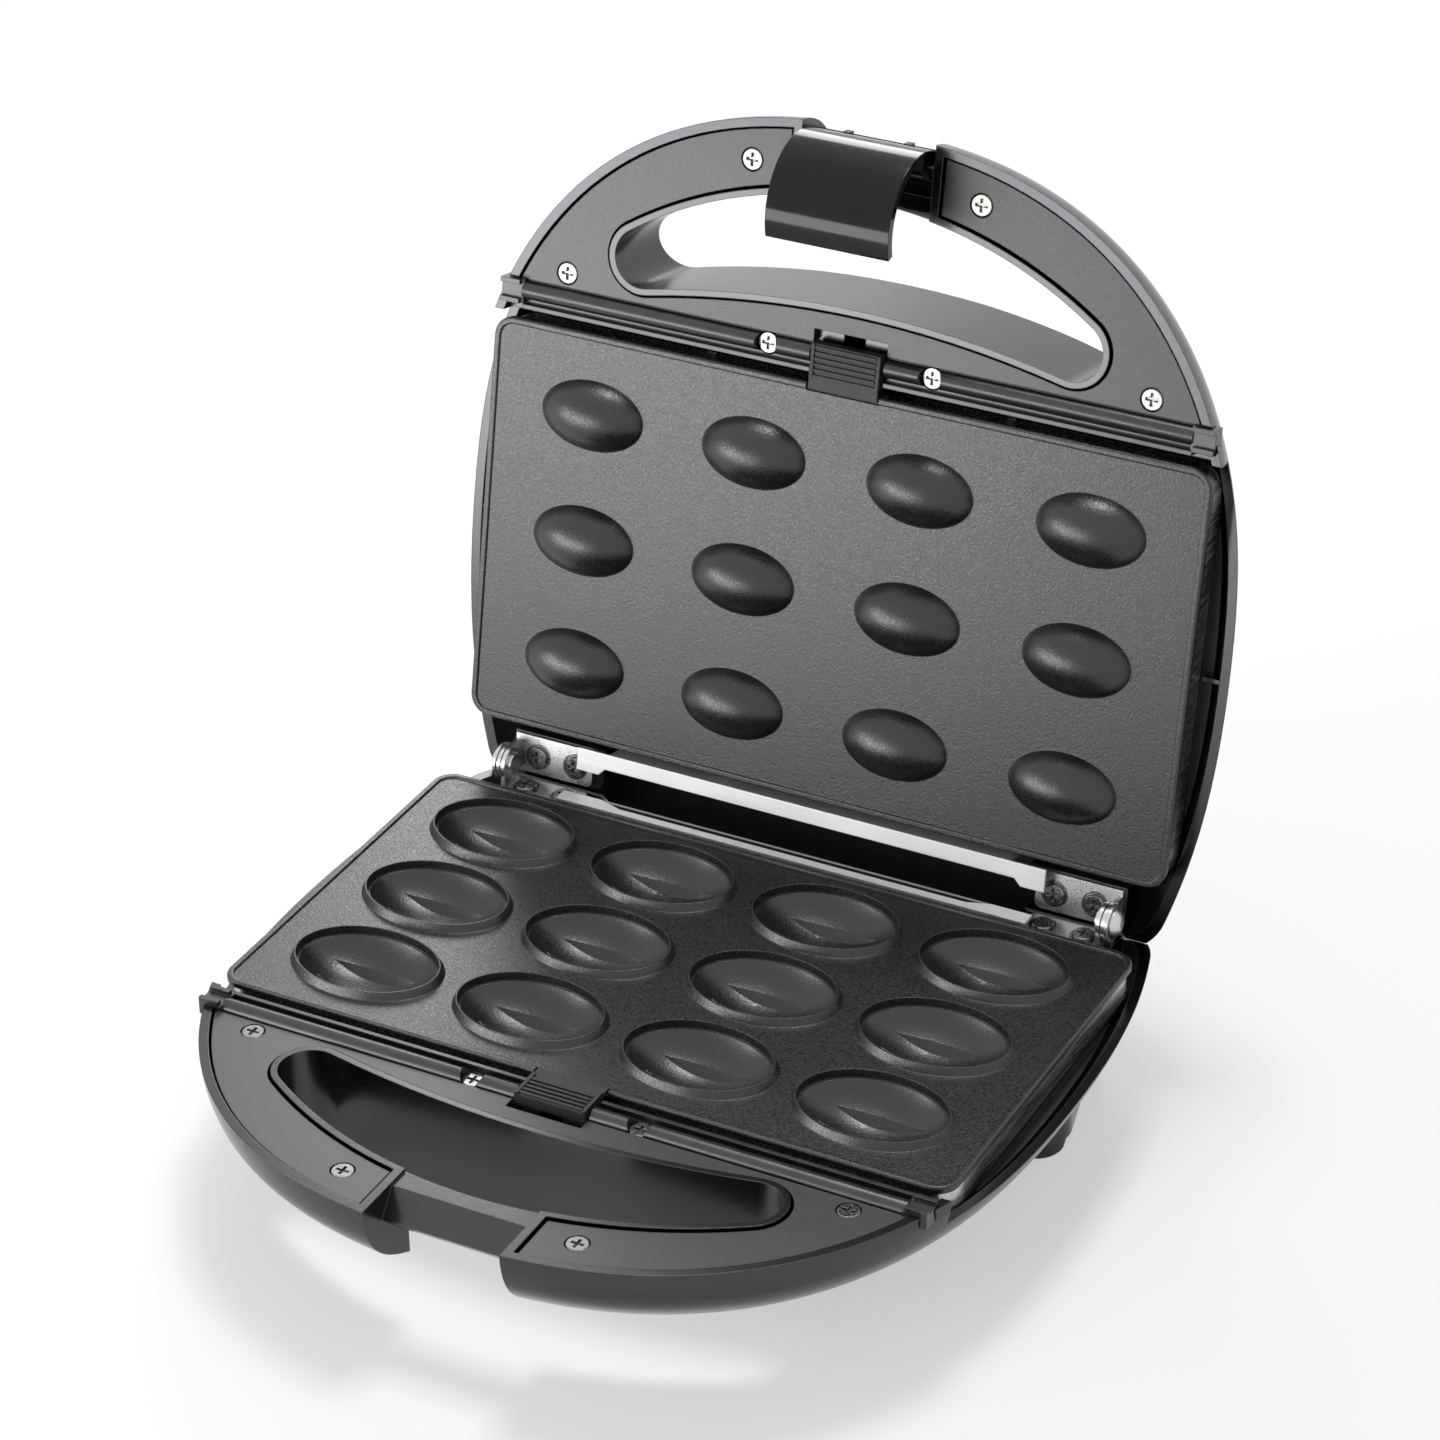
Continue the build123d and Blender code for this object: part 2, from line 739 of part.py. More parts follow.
# Frames: black rings between pan and shell, resting on the shell's posts
frame_outer_inset = 6.9
frame_y = (-60.8, 61.8)
shoulder_inset = 0.9
shoulder_from_x = 60.0
for half, name in ((base, "base"), (lid, "lid")):
    with BuildPart() as frame:
        ring = outline_face(half.level(frame_depth), frame_outer_inset)
        extrude(ring, amount=frame_thickness, dir=half.into)
        size = (2 * (plate_half_x - shoulder_inset), plate_height - 2 * shoulder_inset)
        with BuildSketch(half.level(side_rim_depth)):
            with Locations((0, plate_y)):
                RectangleRounded(*size, plate_corner)
                Rectangle(2 * shoulder_from_x, plate_height + 2, mode=Mode.SUBTRACT)
        extrude(amount=half.inward(frame_depth - side_rim_depth))
        add(block(half, (-130, 130), (-150, frame_y[0]), (0, 20)), mode=Mode.SUBTRACT)
        add(block(half, (-130, 130), (frame_y[1], 120), (0, 20)), mode=Mode.SUBTRACT)
        size = (2 * (plate_half_x - pan_step + 0.1), plate_height - 2 * pan_step + 0.2)
        hole_length = frame_depth + frame_thickness + 2 - side_rim_depth
        with BuildSketch(half.level(side_rim_depth - 1)):
            with Locations((0, plate_y)):
                RectangleRounded(*size, plate_corner)
        extrude(amount=half.inward(hole_length), mode=Mode.SUBTRACT)
        add(posts(half, frame_posts, 1.1, (0, 20)), mode=Mode.SUBTRACT)
        for side in (-1, 1):
            add(
                block(half, (side * 64.0, side * 97.0), (60.0, 70), (0, 20)),
                mode=Mode.SUBTRACT,
            )
    save(frame, f"{name}_inner_frame")


# Heating elements: a bent tube pressed to the back of each plate, its pins and its brackets
element_radius = 3.25
element_turn_x = 82.0
element_end_x = -98.0
element_pin_radius = 1.2
bracket_places = [(x, side * element_leg_y) for x in (-66.0, 52.0) for side in (-1, 1)]
for half, name, face_depth in ((base, "lower", lower_face_depth), (lid, "upper", upper_face_depth)):
    centre_depth = face_depth + core_thickness + element_radius + 0.05
    flat = half.level(centre_depth)
    with BuildPart() as element:
        with BuildLine(flat):
            lower_leg = Line((element_end_x, -element_leg_y), (element_turn_x, -element_leg_y))
            bend = ThreePointArc(
                lower_leg @ 1, (element_turn_x + element_leg_y, 0), (element_turn_x, element_leg_y)
            )
            Line(bend @ 1, (element_end_x, element_leg_y))
        tube_end = half.point(element_end_x, -element_leg_y, centre_depth)
        with BuildSketch(Plane(tube_end, z_dir=(1, 0, 0))):
            Circle(element_radius)
        sweep()
        for leg_y in (-element_leg_y, element_leg_y):
            pin_start = half.point(element_end_x + 1, leg_y, centre_depth)
            with BuildSketch(Plane(pin_start, x_dir=half.back, z_dir=(-1, 0, 0))):
                Circle(element_pin_radius)
            extrude(amount=6.0)
    save(element, f"{name}_heating_element")
    with BuildPart() as brackets:
        for x, y in bracket_places:
            add(block(half, (x - 4, x + 4), (y - 4.6, y + 4.6), (centre_depth + 1, pan_floor_depth)))
        for leg_y in (-element_leg_y, element_leg_y):
            with BuildSketch(Plane(half.point(-80, leg_y, centre_depth), z_dir=(1, 0, 0))):
                Circle(element_radius)
            extrude(amount=150, mode=Mode.SUBTRACT)
        under_depths = (centre_depth + 6, pan_floor_depth - 1)
        add(block(half, (-80, 70), (-30, 30), under_depths), mode=Mode.SUBTRACT)
        for x, y in bracket_places:
            for side in (-1, 1):
                leg_x = x + side * 3.2
                leg_depths = (centre_depth + 5, pan_floor_depth)
                add(block(half, (leg_x - 0.8, leg_x + 0.8), (y - 4.6, y + 4.6), leg_depths))
    save(brackets, f"{name}_element_brackets")


# Rear rails: bright strips that hold the back edge of each plate
rail_sheet = 0.8
rail_x = (-72.0, 73.0)


def rail_outline(front_y, tab_y, waist_y, tab_x, waist_x):
    """Strip with a wider tab at each end. tab_x and waist_x are (left, right)."""
    left, right = rail_x
    return (
        (left, front_y),
        (right, front_y),
        (right, tab_y),
        (tab_x[1], tab_y),
        (waist_x[1], waist_y),
        (waist_x[0], waist_y),
        (tab_x[0], tab_y),
        (left, tab_y),
    )


lower_outline = rail_outline(60.6, 65.2, 63.0, (-60.0, 61.0), (-53.0, 54.0))
upper_outline = rail_outline(61.0, 67.6, 65.6, (-65.0, 66.0), (-63.0, 64.0))
for half, name, depth, outline in (
    (base, "lower", 1.8, lower_outline),
    (lid, "upper", 1.2, upper_outline),
):
    foot_y = outline[0][1]
    with BuildPart() as rail:
        with BuildSketch(half.level(depth)):
            Polygon(*outline, align=None)
        extrude(amount=half.inward(rail_sheet))
        add(block(half, (-62, 62), (foot_y, foot_y + rail_sheet), (depth, frame_depth)))
    save(rail, f"{name}_rear_rail")


# Hinge leaves: one bent sheet each, a flat leaf and an upright ear with the eye
web_front_y = 64.5
web_back_y = 73.4
leaf_corner = 2.0
outer_ear_x = ear_x + sheet + ear_gap
ear_places = {
    "lower": (ear_x, ear_x + sheet),
    "upper": (outer_ear_x, outer_ear_x + sheet),
}
for half, name in ((base, "lower"), (lid, "upper")):
    near = half.axis_depth + leaf_offset
    ear_near, ear_far = ear_places[name]
    eye_bore = pin_radius if half is base else pin_radius + hinge_running_gap
    for side, side_name in ((-1, "left"), (1, "right")):
        with BuildPart() as leaf:
            with BuildSketch(half.level(near)):
                with Locations((side * (leaf_inner_x + ear_far) / 2, (leaf_front_y + leaf_back_y) / 2)):
                    Rectangle(ear_far - leaf_inner_x, leaf_back_y - leaf_front_y)
            extrude(amount=half.inward(sheet))
            inner_edges = leaf.edges().filter_by(
                lambda edge: abs(abs(edge.center().X) - leaf_inner_x) < 0.01
                and abs(edge.length - sheet) < 0.01
            )
            fillet(inner_edges, leaf_corner)
            with BuildSketch(half.side(side * ear_near)):
                Polygon(
                    (web_front_y, near + sheet),
                    (web_back_y, near + sheet),
                    (hinge_y + 3.4, half.axis_depth + 2),
                    (hinge_y - 4.4, half.axis_depth + 2),
                    align=None,
                )
                with Locations((hinge_y, half.axis_depth)):
                    Circle(eye_radius)
                    Circle(eye_bore, mode=Mode.SUBTRACT)
            extrude(amount=side * half.sign * sheet)
            add(posts(half, both_sides(leaf_screws), 1.6, (near - 1, near + 3)), mode=Mode.SUBTRACT)
        save(leaf, f"{name}_hinge_leaf_{side_name}")

# Hinge rivets and their washers
washer_radius = 5.5
washer_thickness = 0.8
washer_x = ear_places["upper"][1] + 0.1
rivet_head_x = washer_x + washer_thickness + 0.05
rivet_head_radius = 4.4
rivet_head_height = 2.0
inner_head_x = ear_x - 1.0


def hinge_disc(side, x_from, x_to, radius):
    """Round disc on the hinge axis between two x positions."""
    with BuildPart() as disc:
        with BuildSketch(base.side(side * x_from)):
            with Locations((hinge_y, base.axis_depth)):
                Circle(radius)
        extrude(amount=side * base.sign * (x_to - x_from))
    return disc.part


with BuildPart() as hinge_pins:
    for side in (-1, 1):
        add(hinge_disc(side, inner_head_x, ear_x, 3.2))
        add(hinge_disc(side, ear_x - 0.2, rivet_head_x + 0.2, pin_radius))
        head_base = base.point(side * rivet_head_x, hinge_y, base.axis_depth)
        with BuildSketch(Plane(head_base, x_dir=(side, 0, 0), z_dir=(0, side, 0))):
            with BuildLine():
                Line((0, 0), (rivet_head_height, 0))
                ThreePointArc(
                    (rivet_head_height, 0),
                    (rivet_head_height * 0.86, rivet_head_radius * 0.6),
                    (0.5, rivet_head_radius),
                )
                Line((0.5, rivet_head_radius), (0, rivet_head_radius))
                Line((0, rivet_head_radius), (0, 0))
            make_face()
        revolve(axis=Axis(base.point(0, hinge_y, base.axis_depth), (1, 0, 0)), revolution_arc=360)
save(hinge_pins, "hinge_pins")

with BuildPart() as hinge_washers:
    for side in (-1, 1):
        add(hinge_disc(side, washer_x, washer_x + washer_thickness, washer_radius))
        bore = hinge_disc(side, washer_x - 1, washer_x + 2, pin_radius + hinge_running_gap)
        add(bore, mode=Mode.SUBTRACT)
save(hinge_washers, "hinge_washers")


# Latch: a curved catch that hangs from its pin and hooks round the base's bar
latch_top_turn = 157.0
latch_tip_turn = 292.0
cheek_thickness = 2.2
hub_from = 8.0


def latch_angle_point(radius, turn):
    return (
        latch_centre[0] + radius * cos(radians(turn)),
        latch_centre[1] + radius * sin(radians(turn)),
    )


latch_side = lid.side(0)
latch_inner = latch_radius - latch_thickness
with BuildPart() as latch:
    with BuildSketch(latch_side):
        with BuildLine():
            outer_arc = ThreePointArc(
                latch_angle_point(latch_radius, latch_top_turn),
                latch_angle_point(latch_radius, 225),
                latch_angle_point(latch_radius, latch_tip_turn),
            )
            inner_arc = ThreePointArc(
                latch_angle_point(latch_inner, latch_top_turn),
                latch_angle_point(latch_inner, 225),
                latch_angle_point(latch_inner, latch_tip_turn),
            )
            top_edge = latch_angle_point((latch_radius + latch_inner) / 2, latch_top_turn - 3.4)
            ThreePointArc(outer_arc @ 0, top_edge, inner_arc @ 0)
            Line(outer_arc @ 1, inner_arc @ 1)
        make_face()
    extrude(amount=latch_half, both=True)
    for side in (-1, 1):
        with BuildSketch(lid.side(side * (latch_half - cheek_thickness))):
            with Locations(latch_centre):
                Circle(latch_radius - 0.6)
            Polygon(
                (latch_pivot[0] + 3.6, latch_pivot[1] + 1.5),
                (latch_pivot[0] - 1.5, latch_pivot[1] + 3.6),
                (-131, 9),
                (-131, -9),
                (-124.6, -9),
                (-123.2, 0),
                (latch_pivot[0] + 3.4, latch_pivot[1] - 1.5),
                align=None,
                mode=Mode.INTERSECT,
            )
            with Locations(latch_pivot):
                Circle(latch_hub_radius)
        extrude(amount=side * cheek_thickness)
        with BuildSketch(lid.side(side * hub_from)):
            with Locations(latch_pivot):
                Circle(latch_hub_radius)
        extrude(amount=side * (latch_half - hub_from))
        arm_x = (side * hub_from, side * (hub_from + 2))
        arm_depths = (latch_pivot[1] - 2.0, latch_pivot[1] + 1.0)
        add(block(lid, arm_x, (-127.5, latch_pivot[0]), arm_depths))
    with BuildSketch(latch_side):
        with Locations(latch_pivot):
            Circle(latch_pin_radius + hinge_running_gap)
    extrude(amount=latch_half + 1, both=True, mode=Mode.SUBTRACT)
save(latch, "latch")

with BuildPart() as latch_pin:
    with BuildSketch(latch_side):
        with Locations(latch_pivot):
            Circle(latch_pin_radius)
    extrude(amount=gap_half + gap_wall - 0.8, both=True)
save(latch_pin, "latch_pin")

# Latch spring: wire wound round the pin, one end held in the lid's bar
spring_wire = 0.4
spring_coil_radius = 2.6
spring_pitch = 1.1
spring_height = 11.0
spring_plane = Plane(
    origin=lid.point(-spring_height / 2, latch_pivot[0], latch_pivot[1]), x_dir=lid.back, z_dir=(1, 0, 0)
)
with BuildPart() as latch_spring:
    with BuildLine(spring_plane):
        coil = Helix(
            pitch=spring_pitch, height=spring_height, radius=spring_coil_radius, direction=(1, 0, 0)
        )
    with BuildSketch(Plane(origin=coil @ 0, z_dir=coil % 0)):
        Circle(spring_wire)
    sweep(path=coil, is_frenet=True)
save(latch_spring, "latch_spring")


# Feet
for side, side_name in ((-1, "left"), (1, "right")):
    foot_depths = (foot_post_end - foot_socket, parting_z)
    with BuildPart() as front_foot:
        x, y = front_feet[1]
        add(posts(base, ((side * x, y),), foot_radius, foot_depths))
        chamfer(front_foot.faces().sort_by(Axis.Z)[0].edges(), 0.8)
    save(front_foot, f"front_foot_{side_name}")
    with BuildPart() as rear_foot:
        outline = rear_foot_face(base.level(foot_depths[0]), side, foot_radius)
        extrude(outline, amount=foot_depths[1] - foot_depths[0], dir=base.into)
        chamfer(rear_foot.faces().sort_by(Axis.Z)[0].edges(), 0.8)
    save(rear_foot, f"rear_foot_{side_name}")


# Electrical parts under the lower plate
pan_bottom = pan_floor_depth + pan_sheet
thermostat_place = (24.0, 4.0)
fuse_place = (-24.0, -10.0)
block_place = (-45.0, 28.0)
inner_floor_depth = dome_sections(wall)[-1][1]
block_top = 24.0
with BuildPart() as thermostat:
    x, y = thermostat_place
    add(posts(base, ((x, y),), 8.5, (pan_bottom, pan_bottom + 6.5)))
    add(posts(base, ((x, y),), 4.0, (pan_bottom + 6, pan_bottom + 9)))
    for side in (-1, 1):
        tag_x = (x + side * 8, x + side * 15)
        add(block(base, tag_x, (y - 1.6, y + 1.6), (pan_bottom + 4, pan_bottom + 4.8)))
save(thermostat, "thermostat")

with BuildPart() as thermal_fuse:
    fuse_axis = pan_bottom + 2.2
    fuse_x, fuse_y = fuse_place
    with BuildSketch(Plane(base.point(fuse_x - 6, fuse_y, fuse_axis), z_dir=(1, 0, 0))):
        Circle(2.0)
    extrude(amount=12)
    with BuildSketch(Plane(base.point(fuse_x - 16, fuse_y, fuse_axis), z_dir=(1, 0, 0))):
        Circle(0.5)
    extrude(amount=32)
    add(block(base, (fuse_x - 3, fuse_x + 3), (fuse_y - 4, fuse_y + 4), (pan_bottom, pan_bottom + 0.5)))
save(thermal_fuse, "thermal_fuse")

with BuildPart() as terminal_block:
    x, y = block_place
    add(block(base, (x - 17, x + 17), (y - 6, y + 6), (block_top, inner_floor_depth - 0.1)))
    for way in (-1, 0, 1):
        add(posts(base, ((x + 10 * way, y),), 2.6, (block_top - 1, block_top + 3)), mode=Mode.SUBTRACT)
        with BuildSketch(base.front(y - 8)):
            with Locations((x + 10 * way, block_top + 4)):
                Circle(1.6)
        extrude(amount=16, mode=Mode.SUBTRACT)
save(terminal_block, "terminal_block")

# Gland: soft ring where the cord would leave the base
gland_lip = 1.6
with BuildPart() as cord_gland:
    with BuildSketch(base.front(62.0)):
        with Locations((outlet_x, outlet_depth)):
            Circle(gland_radius)
    extrude(amount=outlet_end_y - 62.0)
    with BuildSketch(base.front(outlet_end_y)):
        with Locations((outlet_x, outlet_depth)):
            Circle(gland_radius + gland_lip)
    extrude(amount=gland_lip)
    with BuildSketch(base.front(60.0)):
        with Locations((outlet_x, outlet_depth)):
            Circle(cord_radius)
    extrude(amount=25, mode=Mode.SUBTRACT)
save(cord_gland, "cord_gland")

# Leads from the terminal block to the thermostat and the element pins
lead_radius = 1.3
lead_depth = block_top + 4
lead_ends = ((-86.0, 14.0), (-86.0, -14.0), (thermostat_place[0] - 14.0, thermostat_place[1]))
with BuildPart() as supply_leads:
    for way, (end_x, end_y) in zip((-1, 0, 1), lead_ends):
        start = base.point(block_place[0] + 10 * way, block_place[1] - 5, lead_depth)
        turn = base.point(block_place[0] + 10 * way, block_place[1] - 17 - 5 * way, lead_depth - 2)
        end = base.point(end_x, end_y, pan_bottom + 7.0)
        with BuildLine() as route:
            Spline(start, turn, end, tangents=((0, -1, 0), end - turn))
        with BuildSketch(Plane(origin=start, z_dir=(0, -1, 0))):
            Circle(lead_radius)
        sweep(path=route.wires()[0])
save(supply_leads, "supply_leads")

# Lamps in the outer side of the lid
for (x, y), name in zip(lamp_places, ("power_lamp", "ready_lamp")):
    with BuildPart() as lamp:
        add(posts(lid, ((x, y),), lamp_radius, (floor_depth - 5, floor_depth + 0.4)))
        add(posts(lid, ((x, y),), lamp_radius + 1.2, (floor_depth - 5, floor_depth - wall - 0.3)))
        chamfer(lamp.edges().group_by(Axis.Y)[-1], 0.7)
    save(lamp, name)
with BuildPart() as lamp_holder:
    add(block(lid, (-21, 21), (-58, -46), (floor_depth - 8.4, floor_depth - 6.6)))
    add(posts(lid, ((-18, -52), (18, -52)), 2.2, (floor_depth - 6.8, inner_floor_depth)))
    for (x, y) in lamp_places:
        add(posts(lid, ((x, y),), 2.2, (floor_depth - 6.8, floor_depth - 5)))
save(lamp_holder, "lamp_holder")


# Screws: cross-head, one group of separate screws per node
cross_width = 0.8
cross_share = 1.16
cross_depth = 0.8


def screws(half, places, head_depth, length, head_radius=screw_head_radius, radius=screw_radius, rim=0.0):
    """Cross-head screws whose heads start at head_depth, with a round washer when rim is set."""
    with BuildPart() as group:
        with BuildSketch(half.level(head_depth)):
            with Locations(*places):
                Circle(head_radius)
        extrude(amount=half.inward(screw_head_height))
        chamfer(group.faces().sort_by(Axis(half.origin, half.into))[0 : len(places)].edges(), 0.3)
        if rim > 0:
            head_end = head_depth + screw_head_height
            add(posts(half, places, head_radius + rim, (head_end - 0.35, head_end)))
        add(posts(half, places, radius, (head_depth + 0.5, head_depth + screw_head_height + length)))
        cross_length = cross_share * head_radius
        with BuildSketch(half.level(head_depth)):
            with Locations(*places):
                Rectangle(cross_length, cross_width)
                Rectangle(cross_width, cross_length)
        extrude(amount=half.inward(cross_depth), mode=Mode.SUBTRACT)
    return group


for half, name, leaf_name in ((base, "base", "lower"), (lid, "lid", "upper")):
    near = half.axis_depth + leaf_offset
    save(screws(half, cover_screws, cover_depth, 9.0), f"{name}_cover_screws")
    save(screws(half, strip_screws, strip_head_depth, 9.0), f"{name}_strip_screws")
    save(
        screws(half, both_sides(leaf_screws), near - screw_head_height, 7.0, rim=0.7),
        f"{leaf_name}_hinge_screws",
    )
    save(
        screws(half, frame_posts, frame_depth - screw_head_height, 7.0, head_radius=1.7, radius=1.0),
        f"{name}_frame_screws",
    )
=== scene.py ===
# %% [markdown]
# # A sandwich maker with walnut-shaped moulds
#
# This lesson starts from a finished CAD model. Its pieces already have their real shapes and places,
# so they are never moved. What this file adds is what CAD cannot hold: how each surface was made and
# how it meets the light.

# %% Load the frame
import json

import bpy
import numpy as np
from mathutils import Matrix, Vector

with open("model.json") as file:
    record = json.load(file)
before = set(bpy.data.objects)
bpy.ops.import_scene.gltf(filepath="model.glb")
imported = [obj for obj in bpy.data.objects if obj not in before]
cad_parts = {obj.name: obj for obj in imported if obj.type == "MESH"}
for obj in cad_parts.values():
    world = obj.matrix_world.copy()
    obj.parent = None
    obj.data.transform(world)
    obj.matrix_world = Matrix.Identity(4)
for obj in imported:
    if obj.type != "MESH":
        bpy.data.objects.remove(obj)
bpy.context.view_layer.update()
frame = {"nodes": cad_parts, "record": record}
MM = 0.001
print("nodes in the frame:", len(frame["nodes"]))

# %% [markdown]
# ## Camera
#
# A photo of a product is usually taken from far away with a long lens, so parallel edges stay nearly
# parallel. The camera below looks from the right and from above. Its three directions are worked out
# from two angles and a small roll, and the lens from the width of the object in the picture.

# %% Camera at the photograph's angle
AZIMUTH, ELEVATION, ROLL = np.radians([28.25, 30.82, -1.0])
CAMERA_PLACE = Vector((508.94, -925.11, 749.29)) * MM
FOCAL_PIXELS = 4758.8
IMAGE_PIXELS = 1440
SENSOR_WIDTH_MM = 36.0

backward = Vector(
    (
        np.sin(AZIMUTH) * np.cos(ELEVATION),
        -np.cos(AZIMUTH) * np.cos(ELEVATION),
        np.sin(ELEVATION),
    )
)
level_right = backward.cross(Vector((0, 0, -1))).normalized()
level_up = backward.cross(level_right)
right = np.cos(ROLL) * level_right + np.sin(ROLL) * level_up
up = backward.cross(right)
camera_turn = Matrix((right, up, backward)).transposed().to_4x4()

camera_data = bpy.data.cameras.new("camera")
camera_data.sensor_width = SENSOR_WIDTH_MM
camera_data.lens = FOCAL_PIXELS / IMAGE_PIXELS * SENSOR_WIDTH_MM
camera_data.clip_start = 0.05
camera_data.clip_end = 20.0
camera = bpy.data.objects.new("camera", camera_data)
camera.matrix_world = Matrix.Translation(CAMERA_PLACE) @ camera_turn
bpy.context.scene.collection.objects.link(camera)
bpy.context.scene.camera = camera
print("lens", round(camera_data.lens, 1), "mm")

# %% [markdown]
# ## Floor and light
#
# The object stands on a white table in a white studio. The room gives an even base of light, which
# keeps the shadow pale. The floor is a plain sheet that shows white to the camera and keeps the
# object's shadow.
#
# Every node in this file is added by one small function, so a material reads as a list of what it is
# made of.

# %% A small function that adds one node
def add_node(tree, kind, links=(), **settings):
    """Adds a node of this kind, sets it up by name and connects its inputs.

    A setting is a property of the node, or else the input socket of that name, with underscores for
    spaces. links is a list of (input name or number, output socket or constant).
    """
    node = tree.nodes.new(kind)
    for name, value in settings.items():
        if hasattr(node, name):
            setattr(node, name, value)
        else:
            node.inputs[name.replace("_", " ")].default_value = value
    for name, source in links:
        if isinstance(source, bpy.types.NodeSocket):
            tree.links.new(source, node.inputs[name])
        else:
            node.inputs[name].default_value = source
    return node


def linear(hex_colour):
    """sRGB hex to linear RGBA: each channel goes through the sRGB curve."""
    channels = np.array([int(hex_colour[i : i + 2], 16) for i in (1, 3, 5)]) / 255
    curve = np.where(channels <= 0.04045, channels / 12.92, ((channels + 0.055) / 1.055) ** 2.4)
    return (*curve.tolist(), 1.0)


def backdrop_rays(tree):
    """1 for what the camera sees, directly, mirrored or through glass, and 0 for light given."""
    ray = add_node(tree, "ShaderNodeLightPath")
    mirrored = add_node(
        tree,
        "ShaderNodeMath",
        operation="MAXIMUM",
        links=[(0, ray.outputs["Is Glossy Ray"]), (1, ray.outputs["Is Transmission Ray"])],
    )
    seen = add_node(
        tree,
        "ShaderNodeMath",
        operation="MAXIMUM",
        links=[(0, ray.outputs["Is Camera Ray"]), (1, mirrored.outputs[0])],
    )
    return seen.outputs[0]


# %% White studio room
# The room shows plain white, and lights the object at ROOM_LIGHT times that.
ROOM_LIGHT = 0.38
BACKDROP_WHITE = 1.0
world = bpy.data.worlds.new("studio")
bpy.context.scene.world = world
world.use_nodes = True
room = world.node_tree
room.nodes.clear()
soft = add_node(room, "ShaderNodeBackground", Color=linear("#ffffff"), Strength=ROOM_LIGHT)
white = add_node(room, "ShaderNodeBackground", Color=linear("#ffffff"), Strength=BACKDROP_WHITE)
both = add_node(
    room,
    "ShaderNodeMixShader",
    links=[(0, backdrop_rays(room)), (1, soft.outputs[0]), (2, white.outputs[0])],
)
add_node(room, "ShaderNodeOutputWorld", links=[("Surface", both.outputs[0])])
print("room light:", ROOM_LIGHT)

# %% Floor
# Near the object, WHITE_SHARE of what the camera sees of the floor is plain white, so that the shadow
# stays pale. From SHADOW_REACH to WHITE_REACH metres the rest fades to white too, which hides the
# horizon.
FLOOR_HALF = 3.0
SHADOW_REACH = 0.35
WHITE_REACH = 0.9
WHITE_SHARE = 0.5
floor_mesh = bpy.data.meshes.new("floor")
floor_mesh.from_pydata(
    [(x, y, 0.0) for x, y in ((-1, -1), (1, -1), (1, 1), (-1, 1))], [], [(0, 1, 2, 3)]
)
floor_mesh.transform(Matrix.Scale(FLOOR_HALF, 4))
floor = bpy.data.objects.new("floor", floor_mesh)
bpy.context.scene.collection.objects.link(floor)

paper = bpy.data.materials.new("white_paper")
paper.use_nodes = True
sheet = paper.node_tree
sheet.nodes.clear()
diffuse = add_node(sheet, "ShaderNodeBsdfDiffuse", Color=linear("#f6f6f6"))
backdrop_white = add_node(sheet, "ShaderNodeEmission", Strength=BACKDROP_WHITE)
floor_place = add_node(sheet, "ShaderNodeTexCoord")
distance = add_node(
    sheet, "ShaderNodeVectorMath", operation="LENGTH", links=[(0, floor_place.outputs["Object"])]
)
white_share = add_node(
    sheet,
    "ShaderNodeMapRange",
    From_Min=SHADOW_REACH,
    From_Max=WHITE_REACH,
    To_Min=WHITE_SHARE,
    To_Max=1.0,
    links=[("Value", distance.outputs["Value"])],
)
seen_share = add_node(
    sheet,
    "ShaderNodeMath",
    operation="MULTIPLY",
    links=[(0, white_share.outputs[0]), (1, backdrop_rays(sheet))],
)
floor_mix = add_node(
    sheet,
    "ShaderNodeMixShader",
    links=[(0, seen_share.outputs[0]), (1, diffuse.outputs[0]), (2, backdrop_white.outputs[0])],
)
add_node(sheet, "ShaderNodeOutputMaterial", links=[("Surface", floor_mix.outputs[0])])
floor_mesh.materials.append(paper)
print("floor:", 2 * FLOOR_HALF, "m square")

# %% [markdown]
# ## Soft panels
#
# A gloss surface shows a lamp only where it mirrors it to the camera, so a studio panel is put where
# the surface it is meant for looks. The top panel brings out the domes and the rounded rims. The back
# panel stands where the level surfaces, the base's plate and cover, mirror it. The two left panels
# stand low, where the lid that leans back mirrors them. All are large for their distance, so that
# their reflections are broad and quiet.

# %% Four soft panels
OBJECT_MIDDLE = (0.0, 0.0, 0.12)
LID_MIDDLE = (0.0, 0.1, 0.17)


def soft_panel(name, place, aim, width, height, power):
    """A rectangular area lamp at place that faces aim, sizes in metres and power in watts."""
    lamp = bpy.data.lights.new(name, "AREA")
    lamp.shape = "RECTANGLE"
    lamp.size = width
    lamp.size_y = height
    lamp.energy = power
    lamp_object = bpy.data.objects.new(name, lamp)
    facing = (Vector(aim) - Vector(place)).to_track_quat("-Z", "Y").to_matrix().to_4x4()
    lamp_object.matrix_world = Matrix.Translation(place) @ facing
    bpy.context.scene.collection.objects.link(lamp_object)
    print("lamp:", name, power, "W")


soft_panel(
    "top_panel",
    place=(-0.12, 0.38, 1.3),
    aim=OBJECT_MIDDLE,
    width=0.42,
    height=0.42,
    power=10.0,
)
soft_panel(
    "low_left_panel",
    place=(-0.37, -0.55, 0.12),
    aim=LID_MIDDLE,
    width=0.5,
    height=0.22,
    power=2.2,
)
soft_panel(
    "left_panel",
    place=(-0.62, -0.42, 0.22),
    aim=LID_MIDDLE,
    width=0.2,
    height=0.2,
    power=0.9,
)
soft_panel(
    "back_panel",
    place=(-0.47, 0.86, 0.6),
    aim=OBJECT_MIDDLE,
    width=0.36,
    height=0.36,
    power=2.6,
)

